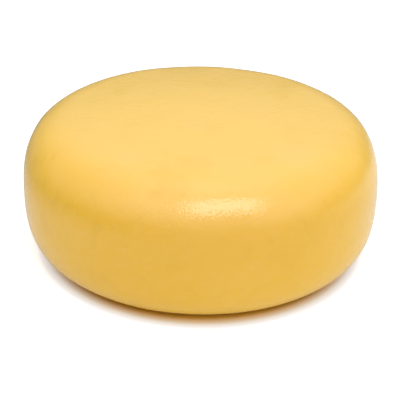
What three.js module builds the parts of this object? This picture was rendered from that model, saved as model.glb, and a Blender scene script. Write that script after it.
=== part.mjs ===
// A whole wheel of semi-hard cheese in its smooth satin coating, lying on its flat base.
// Millimetres, +Z up. The origin is the middle of the base, on the surface that the wheel stands on.
//
// The wheel is one solid of revolution that is a little uneven. Its outline, from the middle of the
// base to the middle of the top, is a flat base, a rounded heel up to the waist, a rounded shoulder,
// and a broad top. Heel and shoulder are each a quarter of a superellipse, which is fuller than a
// quarter ellipse and meets the faces smoothly. All above the waist is raised by a low dome, the crown.

import * as THREE from "three";

// Driving dimensions.
const DIAMETER = 245; // at the waist, the widest circle
const HEIGHT = 100; // from the base to the middle of the top
const WAIST_HEIGHT = 41; // below the middle, because a wheel sags a little as it ripens
const TOP_DIAMETER = 174; // where the shoulder's curve ends and only the dome is left
const BASE_DIAMETER = 182; // the flat that the wheel stands on, where the heel begins
const CROWN = 9.5; // height of the dome

// Exponents of the superellipses: 2 is a plain ellipse, and more is fuller.
const SHOULDER_FULLNESS = 2.75;
const HEEL_FULLNESS = 2.65;

// Unevenness from the mould and from turning by hand, in mm.
// Out of round: [lobes round the wheel, depth, turn in radians].
const ROUND_LOBES = [
  [2, 0.2, 0.6],
  [3, 0.12, 2.1],
  [5, 0.07, 4.4],
];
// Slow waves across the top: [wavelength, depth, direction in radians, phase].
const TOP_WAVES = [
  [220, 0.2, 0.4, 1.1],
  [135, 0.14, 2.0, 0.3],
  [85, 0.07, 3.9, 2.6],
];

// Fineness of the facets: steps round the wheel, and along each stretch of the outline.
const STEPS_ROUND = 112;
const HEEL_STEPS = 12;
const SHOULDER_STEPS = 15;
const TOP_STEPS = 11;

const RADIUS = DIAMETER / 2;
const TOP_RADIUS = TOP_DIAMETER / 2;
const BASE_RADIUS = BASE_DIAMETER / 2;
const SHOULDER_RISE = HEIGHT - CROWN - WAIST_HEIGHT; // of the shoulder's own curve, without the dome

// A point of a unit quarter superellipse at a polar angle from 0, on the first axis, to a right angle.
function superellipse(angle, fullness) {
  const [along, up] = [Math.cos(angle), Math.sin(angle)];
  const reach = (along ** fullness + up ** fullness) ** (-1 / fullness);
  return [along * reach, up * reach];
}

// The dome: a paraboloid that is highest in the middle and comes down to nothing at the waist.
function domeRise(radius) {
  return CROWN * (1 - (radius / RADIUS) ** 2);
}

// The outline as points (radius, height), from the middle of the base to the middle of the top.
function wheelOutline() {
  const points = [new THREE.Vector2(0, 0)];
  for (let i = 0; i < HEEL_STEPS; i++) {
    const [down, out] = superellipse(((i / HEEL_STEPS) * Math.PI) / 2, HEEL_FULLNESS);
    const radius = BASE_RADIUS + (RADIUS - BASE_RADIUS) * out;
    points.push(new THREE.Vector2(radius, WAIST_HEIGHT * (1 - down)));
  }
  for (let i = 0; i < SHOULDER_STEPS; i++) {
    const [out, up] = superellipse(((i / SHOULDER_STEPS) * Math.PI) / 2, SHOULDER_FULLNESS);
    const radius = TOP_RADIUS + (RADIUS - TOP_RADIUS) * out;
    points.push(new THREE.Vector2(radius, WAIST_HEIGHT + SHOULDER_RISE * up + domeRise(radius)));
  }
  for (let i = 0; i <= TOP_STEPS; i++) {
    const radius = TOP_RADIUS * (1 - i / TOP_STEPS);
    points.push(new THREE.Vector2(radius, WAIST_HEIGHT + SHOULDER_RISE + domeRise(radius)));
  }
  return points;
}

// How far the waist stands out of a true circle at an angle round the wheel.
function outOfRound(angle) {
  return ROUND_LOBES.reduce(
    (sum, [lobes, depth, turn]) => sum + depth * Math.cos(lobes * angle + turn),
    0,
  );
}

// How far the top stands off its own dome at a place.
function offLevel(x, y) {
  return TOP_WAVES.reduce((sum, [wavelength, depth, direction, phase]) => {
    const along = x * Math.cos(direction) + y * Math.sin(direction);
    return sum + depth * Math.sin((2 * Math.PI * along) / wavelength + phase);
  }, 0);
}

// Moves a point of the true solid of revolution to where the uneven wheel has it. The base stays flat
// and round: the first effect is strongest at mid height, and the second grows towards the top.
function makeUneven(point) {
  const heightShare = Math.min(point.z / HEIGHT, 1);
  const spread = 1 + (outOfRound(Math.atan2(point.y, point.x)) / RADIUS) * Math.sin(Math.PI * heightShare);
  const lift = offLevel(point.x, point.y) * heightShare ** 2;
  return point.set(point.x * spread, point.y * spread, point.z + lift);
}

function wheelGeometry() {
  const geometry = new THREE.LatheGeometry(wheelOutline(), STEPS_ROUND);
  geometry.rotateX(Math.PI / 2); // a lathe turns about Y, and the wheel's axis is Z
  const position = geometry.getAttribute("position");
  const point = new THREE.Vector3();
  for (let i = 0; i < position.count; i++) {
    makeUneven(point.fromBufferAttribute(position, i));
    position.setXYZ(i, point.x, point.y, point.z);
  }
  geometry.computeVertexNormals();
  return geometry;
}

function coating() {
  return new THREE.MeshStandardMaterial({
    name: "coated_rind",
    color: 0xf2be56,
    roughness: 0.4,
    metalness: 0,
  });
}

const wheel = new THREE.Mesh(wheelGeometry(), coating());
wheel.name = "cheese_wheel";

const part = new THREE.Group();
part.add(wheel);

export default part;
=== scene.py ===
"""A whole cheese wheel in its satin coating, on a pale floor in soft studio light.

Metres, +Z up. The wheel stands on z = 0, with the middle of its base at the origin.
"""

import math

import bpy
import numpy as np
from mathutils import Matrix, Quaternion, Vector


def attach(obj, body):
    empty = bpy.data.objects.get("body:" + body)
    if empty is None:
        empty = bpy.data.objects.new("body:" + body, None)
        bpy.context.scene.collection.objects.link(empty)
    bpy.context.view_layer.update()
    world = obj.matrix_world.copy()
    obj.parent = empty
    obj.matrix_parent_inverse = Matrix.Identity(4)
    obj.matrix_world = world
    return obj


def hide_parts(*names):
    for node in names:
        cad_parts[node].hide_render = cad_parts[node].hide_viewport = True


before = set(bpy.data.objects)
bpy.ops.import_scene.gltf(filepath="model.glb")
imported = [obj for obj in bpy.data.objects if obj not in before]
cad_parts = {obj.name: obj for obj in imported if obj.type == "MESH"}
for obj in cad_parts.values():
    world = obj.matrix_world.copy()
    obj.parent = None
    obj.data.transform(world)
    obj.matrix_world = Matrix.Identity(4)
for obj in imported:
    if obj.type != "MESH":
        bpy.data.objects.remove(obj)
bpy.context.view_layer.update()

MM = 0.001
FULL_TURN = 2 * math.pi
RIGHT_ANGLE = math.pi / 2

# ---------------------------------------------------------------- sizes of the wheel

# The wheel's outline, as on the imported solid.
RADIUS = 122.5 * MM
HEIGHT = 100 * MM  # to the middle of the top
WAIST_HEIGHT = 41 * MM
TOP_RADIUS = 87 * MM  # where the shoulder's curve ends and only the dome is left
BASE_RADIUS = 91 * MM
CROWN = 9.5 * MM  # height of the dome
SHOULDER_RISE = HEIGHT - CROWN - WAIST_HEIGHT  # of the shoulder's own curve, without the dome
SHOULDER_FULLNESS = 2.75
HEEL_FULLNESS = 2.65

# Out of round: lobes round the wheel, depth, turn in radians.
ROUND_LOBES = ((2, 0.2 * MM, 0.6), (3, 0.12 * MM, 2.1), (5, 0.07 * MM, 4.4))
# Slow waves across the top: wavelength, depth, direction in radians, phase.
TOP_WAVES = (
    (220 * MM, 0.2 * MM, 0.4, 1.1),
    (135 * MM, 0.14 * MM, 2.0, 0.3),
    (85 * MM, 0.07 * MM, 3.9, 2.6),
)

# Fineness of the grid: steps round the wheel, and along each stretch of the outline.
STEPS_ROUND = 512
BASE_STEPS = 3
HEEL_STEPS = 52
SHOULDER_STEPS = 70
TOP_STEPS = 62

# Relief of the coating: shortest and longest wavelength, depth (root mean square), number of waves.
RELIEF_BANDS = (
    (28 * MM, 60 * MM, 0.06 * MM, 24),
    (7 * MM, 16 * MM, 0.01 * MM, 64),
)
RELIEF_SEED = 11

# ---------------------------------------------------------------- finish of the coating

# Colours, as linear red, green and blue.
SIDE_COLOUR = (0.71, 0.425, 0.02, 1)
# The top's colour is lighter and paler than the side's partly as a paler coating on top and partly as
# painted light: the brightness and pale sheen the top has under light from above.
TOP_COLOUR_AND_SHEEN = (0.91, 0.61, 0.14, 1)
PALE_COLOUR = (0.83, 0.62, 0.24, 1)
DEEPER = (0.91, 0.885, 0.62, 1)  # what the colour is multiplied by where the coating is thickest
TOP_COLOUR_AND_SHEEN_RISE = (60 * MM, 95 * MM)  # heights where the top's colour starts and is full

# Sizes of the patterns, and how far the warp shifts the clouds and streaks.
CLOUD_SIZE = 42 * MM
MOTTLE_SIZE = 5 * MM
STREAK_SIZE = 20 * MM
STREAK_SQUEEZE = (1.0, 4.5, 1.0)
WARP_SIZE = 14 * MM
WARP_REACH = 12 * MM

# What the patterns do: from and to which value of the noise, and the share or roughness there.
CLOUD_PALE = (0.5, 0.78)
CLOUD_PALE_SHARE = (0.05, 0.14)  # on the side and on the top, where the clouds are palest
CLOUD_DEEPER = (0.48, 0.25, 0, 0.45)
MOTTLE_PALE = (0.5, 0.8, 0, 0.08)
STREAK_DEEPER = (0.42, 0.25, 0, 0.35)
CLOUD_ROUGHNESS = (0.3, 0.7, 0.08, 0.13)

# Pale marks on the top: x, y, radius, strength.
MARKS = (
    (-22.3 * MM, -83.0 * MM, 2.2 * MM, 0.30),
    (-43.6 * MM, -74.0 * MM, 12 * MM, 0.16),
    (-4.2 * MM, -29.6 * MM, 14 * MM, 0.14),
    (58 * MM, -64 * MM, 22 * MM, 0.12),
)
MARK_CORE = 0.3  # share of its radius within which a mark is at full strength

COATING_IOR = 1.65
COATING_DIFFUSE_ROUGHNESS = 1.0

# Relief too fine for the mesh: the orange-peel skin, and the grain in it.
PEEL_SIZE = 4 * MM
PEEL_DEPTH = 0.09 * MM
GRAIN_SIZE = 1.3 * MM
GRAIN_DEPTH = 0.2 * MM

# ---------------------------------------------------------------- studio

FLOOR_HALF = 3.0
FLOOR_COLOUR = (0.9, 0.9, 0.9, 1)
FLOOR_ROUGHNESS = 0.8

# Middle of the painted shade under the heel, of its milder copy and of the painted glow round it.
SHADE_MIDDLE = Vector((0, -6 * MM, 0))
# Painted warm shade on the floor in the narrow gap under the heel, as the camera sees it: distances
# from its middle, and the floor's colour there.
HEEL_SHADE = (
    (104 * MM, (0.60, 0.34, 0.02)),
    (106.5 * MM, (0.50, 0.34, 0.06)),
    (109 * MM, (0.52, 0.46, 0.33)),
    (112 * MM, (0.55, 0.56, 0.57)),
    (115 * MM, (0.88, 0.88, 0.88)),
    (118 * MM, (0.9, 0.9, 0.9)),
)
# Painted milder warm shade in the same gap, which the wheel and other rays see in place of the deep
# one.
GAP_SHADE_SEEN_BY_WHEEL = (0.85, 0.62, 0.35, 1)  # the floor's colour in the gap, as the wheel itself sees it
GAP_SHADE_SEEN_BY_WHEEL_REACH = (103 * MM, 111 * MM)  # distances where the tint starts to fade and has gone
# Painted glow of the floor, seen only by the camera: nothing near the wheel, so the painted shade stays
# dark, and full farther out.
PAINTED_FLOOR_GLOW = (100 * MM, 112 * MM, 0.0, 0.46)  # distances, and how strongly the floor glows there
PAINTED_FLOOR_GLOW_COLOUR = (0.96, 0.96, 1.0, 1)

# Painted darkness seen only in reflections: the floor keeps its colour out to some distance from a
# middle in front and to the right, and is dark beyond.
REFLECTION_DARKENING_MIDDLE = Vector((0.33, -0.5, 0))
REFLECTION_DARKENING_EDGE = (0.62, 0.98)  # distances from its middle where it starts to darken and is darkest
PAINTED_REFLECTION_DARK_COLOUR = (0.15, 0.15, 0.15, 1)

WHITE = (1, 1, 1, 1)
# Soft light of the room: each glow is strongest along one direction and falls off as a power of the
# cosine. Name, azimuth and elevation in degrees, power, strength. Azimuth 0 is +X, and 90 is +Y.
GLOWS = (
    ("ceiling", 0, 90, 8, 1.15),
    ("front", -80, 25, 2, 1.0),
    ("left_front", -120, 40, 8, 0.6),
    ("left_low", -160, 12, 12, 0.4),
    ("right", 0, 30, 6, 0.2),
    ("right_low", -30, 12, 12, 0.6),
    ("back", 85, 45, 5, 0.65),
)

PANEL_DISTANCE = 1.4
# Panels of light: name, azimuth and elevation in degrees as seen from the wheel, width and height in
# metres, power in watts, and whether it shows in reflections.
PANELS = (
    ("key_softbox", -74, 40.5, 1.0, 0.65, 6.1, True),
    ("back_fill", 85, 10, 1.4, 0.5, 9, False),
    ("left_fill", 155, 10, 1.4, 0.5, 6, False),
    ("right_fill", 42, 10, 1.4, 0.5, 3.5, False),
)

CAMERA_BACK = 661.6 * MM
CAMERA_HEIGHT = 367.9 * MM
CAMERA_AIM = Vector((-0.24 * MM, 0, 28.68 * MM))
CAMERA_ROLL = math.radians(1.098)
SENSOR_WIDTH = 36  # in millimetres, as Blender takes it
LENS = 94.39  # in millimetres too


# ---------------------------------------------------------------- the wheel's surface


def superellipse(angle, fullness):
    """A point of a unit quarter superellipse at a polar angle from 0, on the first axis, to a right
    angle: the reach is (cos^n + sin^n)^(-1/n), along the direction (cos, sin)."""
    along, up = np.cos(angle), np.sin(angle)
    reach = (along**fullness + up**fullness) ** (-1 / fullness)
    return along * reach, up * reach


def wheel_outline():
    """Radius and height of each row of the grid, from just off the middle of the base to just off
    the middle of the top: a flat base, the heel's quarter superellipse out to the waist, the
    shoulder's quarter in to the top, and the top. All above the waist is raised by the dome, a
    paraboloid that is CROWN high in the middle and comes down to nothing at the waist."""
    base_share = np.arange(1, BASE_STEPS) / BASE_STEPS
    heel_angle = np.arange(HEEL_STEPS) / HEEL_STEPS * RIGHT_ANGLE
    shoulder_angle = np.arange(SHOULDER_STEPS) / SHOULDER_STEPS * RIGHT_ANGLE
    top_share = 1 - np.arange(TOP_STEPS) / TOP_STEPS
    down, heel_out = superellipse(heel_angle, HEEL_FULLNESS)
    out, up = superellipse(shoulder_angle, SHOULDER_FULLNESS)
    heel_radius = BASE_RADIUS + (RADIUS - BASE_RADIUS) * heel_out
    lower_radius = np.concatenate([BASE_RADIUS * base_share, heel_radius])
    lower_height = np.concatenate([0 * base_share, WAIST_HEIGHT * (1 - down)])
    upper_radius = np.concatenate([TOP_RADIUS + (RADIUS - TOP_RADIUS) * out, TOP_RADIUS * top_share])
    upper_height = WAIST_HEIGHT + SHOULDER_RISE * np.concatenate([up, np.ones(TOP_STEPS)])
    upper_height = upper_height + CROWN * (1 - (upper_radius / RADIUS) ** 2)
    return np.concatenate([lower_radius, upper_radius]), np.concatenate([lower_height, upper_height])


def out_of_round(angle):
    """How far the waist stands out of a true circle: a sum of cosines of a few turns each."""
    return sum(depth * np.cos(lobes * angle + turn) for lobes, depth, turn in ROUND_LOBES)


def off_level(x, y):
    """How far the top stands off its own level: a sum of sine waves, each along one direction."""
    return sum(
        depth * np.sin(FULL_TURN * (x * np.cos(course) + y * np.sin(course)) / wavelength + phase)
        for wavelength, depth, course, phase in TOP_WAVES
    )


def made_uneven(x, y, z):
    """The true solid of revolution moved to where the uneven wheel has it: the radius is scaled by
    the lobes, most at mid height, and the height is raised by the waves, more towards the top."""
    height_share = np.minimum(z / HEIGHT, 1)
    spread = 1 + out_of_round(np.arctan2(y, x)) / RADIUS * np.sin(math.pi * height_share)
    return x * spread, y * spread, z + off_level(x, y) * height_share**2


def relief(x, y, z):
    """Relief of the coating in metres: for each band, a sum of plane sine waves with directions
    spread over the sphere and wavelengths spread over the band."""
    draw = np.random.default_rng(RELIEF_SEED)
    total = np.zeros_like(x)
    for shortest, longest, depth, count in RELIEF_BANDS:
        course = draw.normal(size=(count, 3))
        course /= np.linalg.norm(course, axis=1, keepdims=True)
        wavelength = shortest * (longest / shortest) ** draw.random(count)
        phase = FULL_TURN * draw.random(count)
        for (cx, cy, cz), length, start in zip(course, wavelength, phase):
            total += depth * math.sqrt(2 / count) * np.sin(
                FULL_TURN * (cx * x + cy * y + cz * z) / length + start
            )
    return total


def grid_normals(points):
    """Unit normals of a closed-round grid of points, shaped (rows, columns, 3): the cross product
    of the step round the wheel and the step along the outline."""
    round_step = np.roll(points, -1, axis=1) - np.roll(points, 1, axis=1)
    along_step = np.gradient(points, axis=0)
    normals = np.cross(round_step, along_step)
    return normals / np.linalg.norm(normals, axis=2, keepdims=True)


def wheel_surface():
    """The wheel's grid of points, shaped (rows, columns, 3): the outline turned round the axis,
    made uneven, and moved along its normals by the relief, which fades out towards the base as the
    square root of the share of the waist's height."""
    radius, height = wheel_outline()
    angle = np.arange(STEPS_ROUND) / STEPS_ROUND * FULL_TURN
    x = radius[:, None] * np.cos(angle)
    y = radius[:, None] * np.sin(angle)
    z = np.broadcast_to(height[:, None], x.shape)
    points = np.stack(made_uneven(x, y, z), axis=-1)
    fade = np.clip(height[:, None] / WAIST_HEIGHT, 0, 1) ** 0.5
    stand_off = relief(*np.moveaxis(points, -1, 0)) * fade
    return points + grid_normals(points) * stand_off[..., None]


def grid_faces(rows, columns):
    """Faces of a grid closed round the wheel, with a fan to a last-but-one vertex under its first
    row and a fan to the last vertex over its last row."""
    here = np.arange(columns)
    after = np.roll(here, -1)
    start = (np.arange(rows - 1) * columns)[:, None]
    quads = np.stack([start + here, start + after, start + columns + after, start + columns + here], -1)
    bottom, top = rows * columns, rows * columns + 1
    last_row = (rows - 1) * columns
    bottom_fan = np.stack([np.full(columns, bottom), after, here], -1)
    top_fan = np.stack([np.full(columns, top), last_row + here, last_row + after], -1)
    return quads.reshape(-1, 4).tolist() + bottom_fan.tolist() + top_fan.tolist()


def make_piece(name, vertices, faces, material):
    """A smooth-shaded mesh piece at the origin, with its place in its mesh."""
    mesh = bpy.data.meshes.new(name)
    mesh.from_pydata(vertices.tolist(), [], faces)
    mesh.shade_smooth()
    mesh.materials.append(material)
    piece = bpy.data.objects.new(name, mesh)
    bpy.context.scene.collection.objects.link(piece)
    return piece


def make_wheel(material):
    """The whole wheel: its grid, closed by a vertex in the middle of the base and one in the middle
    of the top, as high as the top row is on average."""
    points = wheel_surface()
    rows, columns, _ = points.shape
    middles = np.array([[0, 0, 0], [0, 0, points[-1, :, 2].mean()]])
    vertices = np.concatenate([points.reshape(-1, 3), middles])
    return make_piece("coated_wheel", vertices, grid_faces(rows, columns), material)


# ---------------------------------------------------------------- building blocks of the materials


def new_material(name):
    material = bpy.data.materials.new(name)
    material.use_nodes = True
    return material, material.node_tree, material.node_tree.nodes["Principled BSDF"]


def fill(tree, socket, value):
    """Gives an input its value, or links it where the value is another node's output."""
    if isinstance(value, bpy.types.NodeSocket):
        tree.links.new(value, socket)
    else:
        socket.default_value = value


def add_node(tree, kind, settings=None, **values):
    """A node of that kind with its settings, and with input values or links by the inputs' names."""
    made = tree.nodes.new(kind)
    for name, value in (settings or {}).items():
        setattr(made, name, value)
    for name, value in values.items():
        fill(tree, made.inputs[name.replace("_", " ")], value)
    return made


def noise_node(tree, place, size, detail, roughness=0.5):
    """Noise between 0 and 1, with spots about that size across."""
    return add_node(
        tree, "ShaderNodeTexNoise", Vector=place, Scale=1 / size, Detail=detail, Roughness=roughness
    )


def noise(tree, place, size, detail, roughness=0.5):
    return noise_node(tree, place, size, detail, roughness).outputs["Fac"]


def ramp(tree, value, start, end, low=0.0, high=1.0):
    """Rises smoothly from low to high as the value goes from start to end, and stays there."""
    made = add_node(
        tree,
        "ShaderNodeMapRange",
        {"interpolation_type": "SMOOTHSTEP"},
        Value=value,
        From_Min=start,
        From_Max=end,
        To_Min=low,
        To_Max=high,
    )
    return made.outputs["Result"]


def maths(tree, operation, first, second):
    made = add_node(tree, "ShaderNodeMath", {"operation": operation})
    fill(tree, made.inputs[0], first)
    fill(tree, made.inputs[1], second)
    return made.outputs["Value"]


def vector_maths(tree, operation, first, second, output="Vector"):
    made = add_node(tree, "ShaderNodeVectorMath", {"operation": operation})
    fill(tree, made.inputs[0], first)
    fill(tree, made.inputs[1], second)
    return made.outputs[output]


def mix_colour(tree, share, first, second, blend="MIX"):
    """The first colour, turned into the second by that share, or blended with it."""
    made = add_node(tree, "ShaderNodeMix", {"data_type": "RGBA", "blend_type": blend}, Factor=share)
    first_colour, second_colour = [socket for socket in made.inputs if socket.type == "RGBA"]
    fill(tree, first_colour, first)
    fill(tree, second_colour, second)
    return next(socket for socket in made.outputs if socket.type == "RGBA")


# ---------------------------------------------------------------- the coating


def warped_place(tree, place):
    """The place shifted by up to half of WARP_REACH each way, so that patterns wander."""
    warp = noise_node(tree, place, WARP_SIZE, detail=2.0).outputs["Color"]
    shift = vector_maths(tree, "SUBTRACT", warp, (0.5, 0.5, 0.5))
    shift = vector_maths(tree, "MULTIPLY", shift, (WARP_REACH, WARP_REACH, WARP_REACH))
    return vector_maths(tree, "ADD", place, shift)


def coating_colour(tree, place, warped, clouds):
    """The side's colour and the top's, which is partly painted light and sheen, with cloudy patches,
    fine mottling, drawn-out streaks and the pale marks."""
    height = add_node(tree, "ShaderNodeSeparateXYZ", Vector=place).outputs["Z"]
    top_share = ramp(tree, height, *TOP_COLOUR_AND_SHEEN_RISE)
    # Partly painted light: the top is lighter and paler than the side.
    colour = mix_colour(tree, top_share, SIDE_COLOUR, TOP_COLOUR_AND_SHEEN)

    palest = ramp(tree, top_share, 0, 1, *CLOUD_PALE_SHARE)
    pale_share = maths(tree, "MULTIPLY", ramp(tree, clouds, *CLOUD_PALE), palest)
    colour = mix_colour(tree, pale_share, colour, PALE_COLOUR)
    colour = mix_colour(tree, ramp(tree, clouds, *CLOUD_DEEPER), colour, DEEPER, "MULTIPLY")

    mottle = noise(tree, place, MOTTLE_SIZE, detail=3.0, roughness=0.6)
    colour = mix_colour(tree, ramp(tree, mottle, *MOTTLE_PALE), colour, PALE_COLOUR)

    drawn_out = vector_maths(tree, "MULTIPLY", warped, STREAK_SQUEEZE)
    streaks = noise(tree, drawn_out, STREAK_SIZE, detail=2.0)
    colour = mix_colour(tree, ramp(tree, streaks, *STREAK_DEEPER), colour, DEEPER, "MULTIPLY")

    flat_place = vector_maths(tree, "MULTIPLY", warped, (1.0, 1.0, 0.0))
    for x, y, radius, strength in MARKS:
        away = vector_maths(tree, "DISTANCE", flat_place, (x, y, 0.0), "Value")
        share = ramp(tree, away, radius, MARK_CORE * radius, 0, strength)
        colour = mix_colour(tree, share, colour, PALE_COLOUR)
    return colour


def coating_skin(tree, place):
    """Normals of the relief that is too fine for the mesh: an orange-peel skin with grain in it."""
    peel = noise(tree, place, PEEL_SIZE, detail=1.0)
    grain = noise(tree, place, GRAIN_SIZE, detail=1.0)
    skin = add_node(tree, "ShaderNodeBump", Distance=PEEL_DEPTH, Height=peel).outputs["Normal"]
    return add_node(
        tree, "ShaderNodeBump", Distance=GRAIN_DEPTH, Height=grain, Normal=skin
    ).outputs["Normal"]


def coating_material():
    """Satin plastic coating, a little duller where it is paler."""
    material, tree, surface = new_material("satin_coating")
    place = tree.nodes.new("ShaderNodeTexCoord").outputs["Object"]
    warped = warped_place(tree, place)
    clouds = noise(tree, warped, CLOUD_SIZE, detail=3.0, roughness=0.55)
    fill(tree, surface.inputs["Base Color"], coating_colour(tree, place, warped, clouds))
    fill(tree, surface.inputs["Roughness"], ramp(tree, clouds, *CLOUD_ROUGHNESS))
    fill(tree, surface.inputs["Normal"], coating_skin(tree, place))
    surface.inputs["IOR"].default_value = COATING_IOR
    surface.inputs["Diffuse Roughness"].default_value = COATING_DIFFUSE_ROUGHNESS
    return material


# ---------------------------------------------------------------- the floor


def heel_shade(tree, from_middle):
    """The floor's painted shade under the heel: its colour by distance from the middle of the shade,
    mixed evenly between stops.
    """
    nearest, farthest = HEEL_SHADE[0][0], HEEL_SHADE[-1][0]
    share = add_node(tree, "ShaderNodeMapRange", Value=from_middle, From_Min=nearest, From_Max=farthest)
    shade = add_node(tree, "ShaderNodeValToRGB", Fac=share.outputs["Result"])
    stops = shade.color_ramp.elements
    for distance, _ in HEEL_SHADE[1:-1]:
        stops.new((distance - nearest) / (farthest - nearest))
    for stop, (_, tint) in zip(stops, HEEL_SHADE):
        stop.color = (*tint, 1)
    return shade.outputs["Color"]


def floor_material():
    """Plain pale floor, with a painted deep shade in the narrow gap under the heel for the camera, and
    a milder painted warm shade there for other rays. Away from the wheel a painted glow seen only by
    the camera makes it a little brighter to the eye, and far off it is painted darker in reflections
    only."""
    material, tree, surface = new_material("pale_floor")
    place = tree.nodes.new("ShaderNodeTexCoord").outputs["Object"]
    path = tree.nodes.new("ShaderNodeLightPath")
    seen, mirrored = path.outputs["Is Camera Ray"], path.outputs["Is Glossy Ray"]

    from_middle = vector_maths(tree, "DISTANCE", place, SHADE_MIDDLE, "Value")
    gap_shade_seen_by_wheel = mix_colour(tree, ramp(tree, from_middle, *GAP_SHADE_SEEN_BY_WHEEL_REACH), GAP_SHADE_SEEN_BY_WHEEL, FLOOR_COLOUR)
    # Painted shade under the heel: the camera sees the deep one, other rays the milder one.
    colour = mix_colour(tree, seen, gap_shade_seen_by_wheel, heel_shade(tree, from_middle))
    # Painted darkness, only in reflections.
    from_darkening_middle = vector_maths(tree, "DISTANCE", place, REFLECTION_DARKENING_MIDDLE, "Value")
    painted_reflection_dark = maths(tree, "MULTIPLY", ramp(tree, from_darkening_middle, *REFLECTION_DARKENING_EDGE), mirrored)
    fill(tree, surface.inputs["Base Color"], mix_colour(tree, painted_reflection_dark, colour, PAINTED_REFLECTION_DARK_COLOUR))
    surface.inputs["Roughness"].default_value = FLOOR_ROUGHNESS

    # Painted glow, seen only by the camera.
    painted_glow = maths(tree, "MULTIPLY", ramp(tree, from_middle, *PAINTED_FLOOR_GLOW), seen)
    fill(tree, surface.inputs["Emission Strength"], painted_glow)
    surface.inputs["Emission Color"].default_value = PAINTED_FLOOR_GLOW_COLOUR
    return material


def make_floor():
    corners = np.array([[-1, -1, 0], [1, -1, 0], [1, 1, 0], [-1, 1, 0]]) * FLOOR_HALF
    floor = make_piece("floor", corners, [[0, 1, 2, 3]], floor_material())


# ---------------------------------------------------------------- light and camera


def direction(azimuth, elevation):
    """Unit vector at an azimuth from +X and an elevation above the floor, both in degrees."""
    turn, rise = math.radians(azimuth), math.radians(elevation)
    return Vector((math.cos(turn) * math.cos(rise), math.sin(turn) * math.cos(rise), math.sin(rise)))


def make_world():
    """The room: the sum of the glows, and at least plain white where the camera sees it directly."""
    world = bpy.data.worlds.new("studio")
    world.use_nodes = True
    tree = world.node_tree
    view = tree.nodes.new("ShaderNodeTexCoord").outputs["Generated"]
    total = 0.0
    for _, azimuth, elevation, power, strength in GLOWS:
        facing = vector_maths(tree, "DOT_PRODUCT", view, direction(azimuth, elevation), "Value")
        glow = maths(tree, "POWER", maths(tree, "MAXIMUM", facing, 0.0), power)
        total = maths(tree, "ADD", maths(tree, "MULTIPLY", glow, strength), total)
    seen = tree.nodes.new("ShaderNodeLightPath").outputs["Is Camera Ray"]
    background = tree.nodes["Background"]
    background.inputs["Color"].default_value = WHITE
    fill(tree, background.inputs["Strength"], maths(tree, "MAXIMUM", total, seen))
    bpy.context.scene.world = world


def make_panel(name, azimuth, elevation, width, height, power, in_reflections):
    """A flat panel of light that faces the middle of the wheel and is never seen directly."""
    light = bpy.data.lights.new(name, "AREA")
    light.shape = "RECTANGLE"
    light.size = width
    light.size_y = height
    light.energy = power
    panel = bpy.data.objects.new(name, light)
    towards = direction(azimuth, elevation)
    panel.location = Vector((0, 0, HEIGHT / 2)) + towards * PANEL_DISTANCE
    panel.rotation_mode = "QUATERNION"
    panel.rotation_quaternion = towards.to_track_quat("Z", "Y")
    panel.visible_camera = False
    panel.visible_glossy = in_reflections
    bpy.context.scene.collection.objects.link(panel)


def make_camera():
    lens = bpy.data.cameras.new("camera")
    lens.sensor_width = SENSOR_WIDTH
    lens.lens = LENS
    camera = bpy.data.objects.new("camera", lens)
    camera.location = (0, -CAMERA_BACK, CAMERA_HEIGHT)
    camera.rotation_mode = "QUATERNION"
    level = (CAMERA_AIM - camera.location).to_track_quat("-Z", "Y")
    camera.rotation_quaternion = level @ Quaternion((0, 0, 1), CAMERA_ROLL)
    bpy.context.scene.collection.objects.link(camera)
    bpy.context.scene.camera = camera


make_camera()
make_floor()
make_world()
for panel in PANELS:
    make_panel(*panel)
bpy.context.scene.view_settings.view_transform = "Standard"

wheel = make_wheel(coating_material())
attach(wheel, "root")
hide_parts("cheese_wheel")
